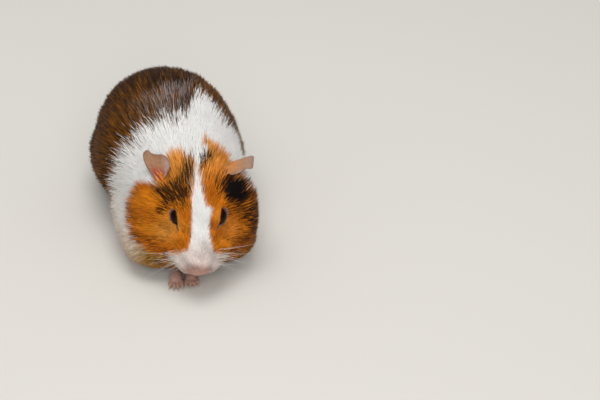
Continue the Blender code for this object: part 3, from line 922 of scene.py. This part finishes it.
def tuft_colours(roots, shown):
    """Each tuft's own colour: the marking where it shows, pinker on nose and feet, and its own brightness."""
    count = len(roots)
    colours = coat_colour(shown, RNG.normal(0, 0.6, count), RNG.uniform(-1, 1, count))
    colours = mixed(colours, COLOURS["pink"] * 1.3, 1 - smoothstep(foot_gap(roots), 1.2, 1.5))
    colours = mixed(colours, "nose", 0.65 * (1 - smoothstep(nose_pad(roots), 0.8, 1.35)))
    spread = np.interp(colours.mean(axis=1), [0.03, 0.25, 0.7], [0.40, 0.30, 0.04])
    spread += np.interp(from_nose(roots), [10, 30, 50], [0.16, 0.10, 0.0])
    own = spread * RNG.uniform(-1, 1, count) + 0.4 * spread * wander(roots, 0.005, 8)
    return colours * (1 + own)[:, None]


def comb(name, roots, rings):
    """Grows a tuft from each root and joins them into one mesh."""
    count = len(roots)
    place, normal = on_skin(roots)
    # no two tufts are quite as long, as wide or as tall
    length = hair_length(roots) * RNG.uniform(0.75, 1.2, count) / 1000
    width = tuft_width(roots) * RNG.uniform(0.75, 1.25, count) * WIDER
    tall = RNG.uniform(0.80, 1.04, count) * (1 + 0.07 * wander(roots, 0.006, 5))
    flare = on_pads(roots) * RNG.uniform(0, 1, count)  # hair on the pads stands off at its tips
    flare += 0.7 * RNG.uniform(0, 1, count) ** 3 * smoothstep(from_nose(roots), 40, 75)  # some on the body
    swing = (RNG.normal(0, 0.07, count) + 0.08 * wander(roots, 0.009, 3))[:, None]
    stations, ways, normals = [place - normal * 0.0002], [], [normal]  # roots are set in a little
    for ring in range(1, rings):
        way = lie_of_hair(place, normal)
        way = way * np.cos(swing) + np.cross(way, normal) * np.sin(swing)
        ways.append(way)
        place, normal = on_skin(place + way * (length / (rings - 1))[:, None])
        share = ring / (rings - 1)
        height = coat_depth(place) * tall * (share ** 0.8) + FLARE_RISE * flare * share ** 2
        stations.append(place + normal * (height / 1000)[:, None])
        normals.append(normal)
    ways.append(ways[-1])
    centres, ways, normals = (np.stack(item, axis=1) for item in (stations, ways, normals))
    across = np.cross(ways, normals)
    across /= np.maximum(size_of(across), 1e-9)[..., None]
    taper = np.interp(np.linspace(0, 1, rings), [0, 0.4, 1], [0.75, 1.0, 0.0])
    half = width[:, None] / 2000 * taper[None]
    colours = tuft_colours(roots, centres[:, rings // 2])
    unrolled = pelt(roots)
    low, high = unrolled.min(axis=0), unrolled.max(axis=0)
    patch = np.clip(PATCH + (1 - 2 * PATCH) * (unrolled - low) / (high - low), 0.002, 0.998)
    return blades(name, centres, across, normals, half, half * 0.55, colours, patch)


print("hair on the rump", hair_length(np.array([[0, 0.1, 0.05]])), "mm long")

# %% [markdown]
# ## Coat material
# Hair is a smooth horn-like fibre, so it has a soft shine along the lie of the coat. Each tuft carries its
# own colour. Fine noise along it stands for single hairs. A hair is a twentieth of a millimetre thick, and
# the noise is drawn eight times as coarse so that it shows.

# %% Coat material
coat = new_material("guinea pig hair")
tint, _ = mottled(coat, grain=0.0004, detail=2.0, low=0.82, high=1.08)
shader = add(coat, "ShaderNodeBsdfPrincipled", {
    "Base Color": tint, "Roughness": 0.6, "Specular IOR Level": 0.10})
add(coat, "ShaderNodeOutputMaterial", {"Surface": shader.outputs["BSDF"]})
print("coat material has", len(coat.node_tree.nodes), "nodes")

# %% [markdown]
# ## The coat
# As many tufts as cover the skin about six times over, each about as long and as wide as the place asks.
# The rims of the eyes, the bare nose and the feet get few or none. The roots are then shared out among
# pieces of the coat, so that no mesh grows too heavy.

# %% How dense the roots are
LAYERS = 6.0  # tufts over any place on the skin
TUFT_FILL = 0.65  # the share of its length times width that a tapering tuft covers
NOSE_LEATHER, LEATHER_SIZE = (0, -0.5, -2), (7.5, 5.0, 4.5)  # in the head frame, mm

density = FEWER * LAYERS / (hair_length(face_centre) * tuft_width(face_centre) * TUFT_FILL)
density[beyond_slits(face_centre) < 6] = 0  # no hair in the opening or on the rims of the lids
density *= smoothstep(near_tears(face_centre), 0.9, 1.7)
density *= 0.12 + 0.88 * smoothstep(nose_pad(face_centre), 0.75, 1.5)
density[size_of((into(HEAD, face_centre) - NOSE_LEATHER) / LEATHER_SIZE) < 0.95] = 0
in_feet = foot_gap(face_centre) < 1.35
density[in_feet] *= 0.10
underside = (face_normal[:, 2] < -0.35) & ~in_feet
density[underside] *= 0.55
roots, root_faces = scatter(density)
print(len(roots), "roots")

# %% Share the roots out among the pieces
reach = from_nose(roots)
across, back, _ = into(NOSE_FLOOR, roots).T
_, along, height = into(HEAD, roots).T
left = across > middle_line(back)
under = underside[root_faces] & (reach > 40)
face = (reach < 78) & (height > -45) & ~under
crown = face & (reach >= 24) & (along > 46)
cheeks = face & (reach >= 24) & ~crown
PARTS = {  # which roots, and how many rings each tuft has
    "coat_muzzle": (reach < 24, 3),
    "coat_cheek_left": (cheeks & left, 4),
    "coat_cheek_right": (cheeks & ~left, 4),
    "coat_crown": (crown, 4),
    "coat_underside": (under, 3),
}
rest = ~(face | under | (reach < 24))
for part, low, high in (("neck", 0, 92), ("shoulders", 92, 125), ("back", 125, 165), ("rump", 165, 400)):
    band = rest & (back >= low) & (back < high)
    PARTS[f"coat_{part}_left"] = (band & left, 4)
    PARTS[f"coat_{part}_right"] = (band & ~left, 4)
print({name: int(chosen.sum()) for name, (chosen, _) in PARTS.items()})

# %% Grow the coat
for name, (chosen, rings) in PARTS.items():
    finished(name, comb(name, roots[chosen], rings), coat, "coat")

# %% [markdown]
# ## Eyes
# A guinea pig's eye is nearly black: a dark brown iris round a wide pupil, under a clear wet cornea. The ball
# is a sphere with a bulge where it looks, and the rings are painted by the angle from that direction.

# %% Eye material
PUPIL = (0.30, "#060303")  # each ring starts so far from where the eye looks, in hundreds of degrees
IRIS = ((0.36, "#24120a"), (0.62, "#1a0d08"), (0.72, "#0a0605"))

eye_surface = new_material("wet dark eye")  # very smooth, with the index of a cornea, so it mirrors the lamps
angle = add(eye_surface, "ShaderNodeAttribute", attribute_name="from_pupil").outputs["Fac"]
rings = add(eye_surface, "ShaderNodeValToRGB", {"Fac": angle})
ramp = rings.color_ramp.elements
for position, _ in IRIS[1:]:
    ramp.new(position)
for step, (position, code) in zip(sorted(ramp, key=lambda step: step.position), (PUPIL, *IRIS)):
    step.position, step.color = position, (*linear(code), 1)
shader = add(eye_surface, "ShaderNodeBsdfPrincipled", {
    "Base Color": rings.outputs["Color"], "Roughness": 0.07, "IOR": 1.376, "Specular IOR Level": 0.12})
add(eye_surface, "ShaderNodeOutputMaterial", {"Surface": shader.outputs["BSDF"]})
print("rings of the eye at", [round(step.position, 2) for step in ramp])

# %% Eyeballs
CORNEA_RISE, CORNEA_WIDTH = 0.035, 32  # a share of the radius, and degrees

for side in SIDES:
    ball = bmesh.new()
    bmesh.ops.create_uvsphere(ball, u_segments=48, v_segments=32, radius=EYE_RADIUS / 1000)
    angles = []
    for vertex in ball.verts:
        away = math.degrees(vertex.co.angle(Vector((0, 0, 1))))
        angles.append(away / 100)
        vertex.co *= 1 + CORNEA_RISE * math.exp(-((away / CORNEA_WIDTH) ** 2))
    mesh = as_mesh(ball, f"eyeball_{side}")
    mesh.attributes.new("from_pupil", "FLOAT", "POINT").data.foreach_set("value", angles)
    turn = eye_axes(side)[0].to_track_quat("Z", "Y").to_matrix().to_4x4()
    mesh.transform(Matrix.Translation(EYE_CENTRES[side]) @ turn)
    mesh.shade_smooth()
    finished(f"eyeball_{side}", mesh, eye_surface, "eye", f"eye_{side}")

# %% [markdown]
# ## Rims of the lids and tear lines
# The edge of each lid is bare, dark and moist. At the front corner both margins run on side by side, with a
# dark wet groove between them, and meet: that is the tear line. Curves with a round section follow the
# almond and the line, since a curve keeps its girth wherever it bends, and are then made meshes.

# %% Lid margin material
def speckled(material, grain, detail, first, second):
    """Two sRGB colours mixed by noise of that grain in metres."""
    place = add(material, "ShaderNodeTexCoord").outputs["Object"]
    noise = add(material, "ShaderNodeTexNoise", {"Vector": place, "Scale": 1 / grain, "Detail": detail})
    mix = add(material, "ShaderNodeMix", {"Factor": noise.outputs["Fac"]}, data_type="RGBA")
    mix.inputs[6].default_value = (*linear(first), 1)  # the sockets of the two colours
    mix.inputs[7].default_value = (*linear(second), 1)
    return mix.outputs[2]


rim_surface = new_material("moist lid margin")  # half glossy, mottled grey and lilac
# painted highlight: the lilac in the mottle is partly the moist margin's own colour, partly highlights on it
mottle = speckled(rim_surface, 0.0008, 2.0, "#45383f", "#7f6b74")
shader = add(rim_surface, "ShaderNodeBsdfPrincipled", {"Base Color": mottle, "Roughness": 0.28})
add(rim_surface, "ShaderNodeOutputMaterial", {"Surface": shader.outputs["BSDF"]})
print("lid margin material has", len(rim_surface.node_tree.nodes), "nodes")

# %% The almond of the rim
RIM_STEPS = 64
RIM_ABOVE_BALL = 0.45  # mm
ALMOND_FULLNESS = 0.9  # below 1, the points crowd less at the corners


def rim_place(side, turn):
    """A point of the almond, once round it as turn goes from 0 to a full circle."""
    look, back, up = eye_axes(side)
    reach = SLIT_BACK if math.cos(turn) > 0 else SLIT_FRONT
    along = math.copysign(abs(math.cos(turn)) ** ALMOND_FULLNESS, math.cos(turn)) * reach
    half = float(lid_edge(np.array(along), np.array(math.sin(turn))))
    above = math.copysign(half, math.sin(turn))
    tilt = math.radians(math.hypot(along, above))
    sideways = (back * along + up * above).normalized()
    direction = look * math.cos(tilt) + sideways * math.sin(tilt)
    return EYE_CENTRES[side] + direction * (EYE_RADIUS + RIM_ABOVE_BALL) / 1000


def new_tube(name, girth):
    tube = bpy.data.curves.new(name, "CURVE")
    tube.dimensions, tube.bevel_depth, tube.bevel_resolution = "3D", girth, 2
    return tube


opening = (rim_place("left", 0) - rim_place("left", math.pi)).length
print("the slit is", round(opening * 1000, 1), "mm long")

# %% Lid rims and tear lines
RIM_GIRTH, GROOVE_GIRTH = 0.00045, 0.0005
MARGIN, GROOVE = (0.55, 0.8), (0.35, 1.1)  # lift off the skin in mm, and girth as a share of the tube's
TEAR_STEPS = 8


def run_on(curve, side, shift, lift, girth):
    """Adds a line that runs on from the corner of the eye, beside the tear line, and ends on it."""
    corner, end = TEAR_LINES[side]
    line = curve.splines.new("POLY")
    line.points.add(TEAR_STEPS - 1)
    for index, point in enumerate(line.points):
        share = index / (TEAR_STEPS - 1)
        spot = corner.lerp(end, share)
        beside = (end - corner).cross(skin_tree.find_nearest(spot)[1]).normalized()
        spot += beside * (shift * (1 - share) / 1000)
        place, normal, _, _ = skin_tree.find_nearest(spot)
        point.co = (*(place + normal * (lift / 1000)), 1)
        point.radius = girth * (1 - 0.6 * share)


for side in SIDES:
    rim = new_tube(f"lid_rim_{side}", RIM_GIRTH)
    spline = rim.splines.new("POLY")
    spline.points.add(RIM_STEPS - 1)
    for index, point in enumerate(spline.points):
        point.co = (*rim_place(side, 2 * math.pi * index / RIM_STEPS), 1)
    spline.use_cyclic_u = True
    run_on(rim, side, -0.7, *MARGIN)
    run_on(rim, side, 0.7, *MARGIN)
    groove = new_tube(f"tear_line_{side}", GROOVE_GIRTH)
    run_on(groove, side, 0, *GROOVE)
    for curve, surface, slot in ((rim, rim_surface, "foot_skin"), (groove, eye_surface, "eye")):
        mesh = evaluated_mesh(new_object("tube", curve))
        mesh.shade_smooth()
        finished(curve.name, mesh, surface, slot)

# %% [markdown]
# ## Ears
# The ears are thin petals with a rolled edge, bare but for a fine down, and warm light shows through them
# at the root. A grid is bent into the petal, thickened and subdivided. The root goes below the skin.

# %% Ear material
ear_surface = new_material("thin ear skin")  # a little light goes through; veins are about 2 mm apart
tint, veins = mottled(ear_surface, grain=0.0022, detail=5.0, low=0.82, high=1.08)
bump = add(ear_surface, "ShaderNodeBump", {"Height": veins, "Strength": 0.25, "Distance": 0.0003})
shader = add(ear_surface, "ShaderNodeBsdfPrincipled", {
    "Base Color": tint, "Roughness": 0.55, "Specular IOR Level": 0.3, "Subsurface Weight": 0.15,
    "Subsurface Radius": (0.002, 0.0007, 0.0004), "Subsurface Scale": 1.0, "Normal": bump.outputs["Normal"]})
add(ear_surface, "ShaderNodeOutputMaterial", {"Surface": shader.outputs["BSDF"]})


def ear_colours(side, along, out):
    """Tan, with a darker rim, partly painted shade along the edge. The right ear is red in its hollow and
    lilac on its inner lobe, the lilac partly painted sheen where the fold catches the light.
    """
    if side == "left":  # gingery down at the root, and a greyer tip
        down = 0.6 * (1 - smoothstep(out, 0.25, 0.55))
        toned = mixed(COLOURS["ear tan"] * 1.15, COLOURS["ginger"] * 0.7, down)
        toned = mixed(toned, COLOURS["ear lilac"] * 0.8, 0.6 * smoothstep(out, 0.55, 0.9))
    else:
        # painted sheen: the lilac of the right ear's inner lobe is partly light caught on its fold
        toned = mixed("ear tan", "ear lilac", 0.8 * smoothstep(along, 0.62, 0.85))
        toned = mixed(toned, "ear red", 0.9 * (1 - smoothstep(out, 0.25, 0.65)))
    # painted shade: the rim is darker, partly its own colour and partly shade along the rolled edge
    return mixed(toned, "ear rim and edge shade", 0.6 * smoothstep(out, 0.88, 1.0))


print("middle of the left ear", ear_colours("left", *one_place(0.5, 0.5)).round(2))

# %% Outlines of the ears
# In millimetres from the middle of the root, in the plane of the ear: x across it, y up it. "faces" is the
# side the cup is read from, and "sink" is how far the root curves back into the coat.
EARS = {
    "left": {
        "root": (29.2, 54.5, 87.0), "across": (0.854, 0.273, -0.443), "faces": (0.501, -0.200, 0.842),
        "base": ((-5, -5), (-5, 5)), "cup": -4.0, "sink": 7.0,
        "rim": [(1, -4.4), (5, -3.6), (9.1, -1.6), (13.7, 1.8), (17, 2.9), (20, 3.7), (22.2, 10), (24, 16.7),
                (21.5, 17.1), (13.8, 12.9), (7, 9.3), (1.5, 6.2)]},
    "right": {
        "root": (-27.8, 51.5, 84.8), "across": (0.954, -0.251, 0.163), "faces": (-0.30, -0.80, 0.52),
        "base": ((-1.5, -5), (4, -5)), "cup": 6.0, "sink": 0.0,
        "rim": [(-3.5, 0.5), (-7, 4.5), (-10.2, 9.5), (-12.3, 14), (-12.4, 18), (-9.2, 20.6), (-5.3, 17.6),
                (-1, 16.7), (3, 16.6), (7, 14.3), (9.6, 10.5), (10, 6.5), (7, 2)]},
}


def on_curve(points, share):
    """A point on the smooth curve through a list of points; share runs from 0 to 1."""
    place = share * (len(points) - 1)
    index = min(int(place), len(points) - 2)
    t = place - index
    around = [points[min(max(index + step, 0), len(points) - 1)] for step in (-1, 0, 1, 2)]
    a, b, c, d = (Vector(point) for point in around)
    return 0.5 * (2 * b + (c - a) * t + (2 * a - 5 * b + 4 * c - d) * t**2 + (3 * b - a - 3 * c + d) * t**3)


print("the tip of the left ear is at", on_curve(EARS["left"]["rim"], 0.6).to_tuple(1), "mm")

# %% Bend and thicken the ears
EAR_THICKNESS = 0.0010

for side, form in EARS.items():
    sheet = bmesh.new()
    bmesh.ops.create_grid(sheet, x_segments=40, y_segments=14, size=0.5)
    along_out = []
    for vertex in sheet.verts:
        along, out = vertex.co.x + 0.5, vertex.co.y + 0.5  # along the rim, and from root to rim
        base = Vector(form["base"][0]).lerp(Vector(form["base"][1]), along)
        spot = base.lerp(on_curve(form["rim"], along), out)
        bend = form["cup"] * ((2 * along - 1) ** 2 - 0.45) * min(1, out * 1.3)
        bend -= form["sink"] * max(0, 1 - out / 0.5) ** 2
        vertex.co = mm(spot.x, spot.y, bend)
        along_out.append((along, out))
    mesh = as_mesh(sheet, f"ear_petal_{side}")
    store_colour(mesh, ear_colours(side, *np.array(along_out).T))
    normal = Vector(form["faces"]).normalized()
    across = Vector(form["across"])
    across = (across - normal * across.dot(normal)).normalized()
    turn = Matrix((across, normal.cross(across), normal)).transposed().to_4x4()
    mesh.transform(NOSE_FLOOR @ Matrix.Translation(mm(*form["root"])) @ turn)
    petal = new_object("petal", mesh)
    wall = petal.modifiers.new("thickness", "SOLIDIFY")
    wall.thickness, wall.offset = EAR_THICKNESS, 0
    rounder = petal.modifiers.new("rounder", "SUBSURF")
    rounder.levels = rounder.render_levels = 1
    mesh = evaluated_mesh(petal)
    mesh.shade_smooth()
    finished(f"ear_petal_{side}", mesh, ear_surface, "ear_skin", f"ear_{side}")

# %% [markdown]
# ## Whiskers
# Whiskers are stiff, pale, tapering hairs that fan back from the pads beside the nose. They are the same
# blades as the coat's, only longer, thinner and gently curved.

# %% Whisker material
whisker_surface = new_material("pale whisker")  # horn, smooth enough to catch the light along its length
place = add(whisker_surface, "ShaderNodeTexCoord").outputs["Object"]
cloudy = add(whisker_surface, "ShaderNodeTexNoise", {"Vector": place, "Scale": 1 / 0.003})
paler = add(whisker_surface, "ShaderNodeMapRange", {
    "Value": cloudy.outputs["Fac"], "From Min": 0.3, "From Max": 0.7, "To Min": 0.7, "To Max": 0.9})
shader = add(whisker_surface, "ShaderNodeBsdfPrincipled", {
    "Base Color": paler.outputs["Result"], "Roughness": 0.35})
add(whisker_surface, "ShaderNodeOutputMaterial", {"Surface": shader.outputs["BSDF"]})
print("whisker material has", len(whisker_surface.node_tree.nodes), "nodes")

# %% Roots and ways of the whiskers
WHISKERS, WHISKER_RINGS = 44, 9
ROWS, ROW_STEP = 4, 3.2  # rows on each side, and mm from one down to the next

starts, ways, bends, lengths = [], [], [], []
for index in range(WHISKERS):
    sign = 1 if index % 2 else -1
    row, column = (index // 2) % ROWS, (index // 2) // ROWS * 0.75
    starts.append(HEAD @ mm((10 + 1.8 * column) * sign, 8 + 3.2 * column, -1.0 - ROW_STEP * row))
    # the upper rows point up and the lower ones down, and all bend back and droop
    spread = Vector((sign * RNG.uniform(0.75, 1.0), RNG.uniform(-0.50, 0.15), 0.35 - 0.35 * row))
    ways.append((HEAD.to_3x3() @ spread).normalized())
    bends.append(HEAD.to_3x3() @ Vector((0, RNG.uniform(0.05, 0.4), RNG.uniform(-0.5, -0.1))))
    lengths.append(RNG.uniform(16, 38) / 1000)
starts, ways, bends = (np.array(item)[:, None] for item in (starts, ways, bends))
lengths = np.array(lengths)[:, None, None]
print("the longest whisker is", round(lengths.max() * 1000), "mm")

# %% Grow the whiskers
WHISKER_HALF_WIDTH = 0.00009

share = np.linspace(0, 1, WHISKER_RINGS)
run = lengths * share[None, :, None]
centres = starts + ways * run + bends * (run * share[None, :, None]) * 0.5
tangents = np.gradient(centres, axis=1)
tangents /= size_of(tangents)[..., None]
sideways = np.cross(tangents, (0, 0, 1.0))
sideways /= size_of(sideways)[..., None]
half = np.tile(WHISKER_HALF_WIDTH * (1 - share) ** 0.7, (WHISKERS, 1))
whisker_colours = np.tile(COLOURS["white"], (WHISKERS, 1))
mesh = blades("whiskers", centres, sideways, np.cross(sideways, tangents), half, half * 1.6,
              whisker_colours, RNG.random((WHISKERS, 2)) * 0.9 + 0.05)
finished("whiskers", mesh, whisker_surface, "claw")

# %% [markdown]
# ## Claws
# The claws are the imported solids, only given horn: brownish and half clear, with fine streaks about a
# millimetre apart.

# %% Claw material
horn = new_material("claw horn")  # keratin, polished by use, with light that goes a little way in
streaks = speckled(horn, 0.0009, 3.0, "#8f7460", "#c9b098")
shader = add(horn, "ShaderNodeBsdfPrincipled", {
    "Base Color": streaks, "Roughness": 0.38, "Subsurface Weight": 0.1,
    "Subsurface Radius": (0.001, 0.0006, 0.0004), "Subsurface Scale": 1.0})
add(horn, "ShaderNodeOutputMaterial", {"Surface": shader.outputs["BSDF"]})
claws = [node for name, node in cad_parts.items() if name.startswith("claw")]
for claw in claws:
    for slot in claw.material_slots:
        slot.material = horn
print(len(claws), "claws")

# %% [markdown]
# ## Size
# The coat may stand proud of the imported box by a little. Both boxes are written down and compared.

VISUAL_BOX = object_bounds()
(cad_low, cad_high), (visual_low, visual_high) = CAD_BOX, VISUAL_BOX
for axis, low, high, side in zip("xyz", cad_low - visual_low, visual_high - cad_high, cad_high - cad_low):
    allowed = 0.03 * side + 0.010
    print(axis, "low", round(low * 1000, 1), "mm, high", round(high * 1000, 1),
          "mm proud of", round(allowed * 1000, 1), "mm allowed")
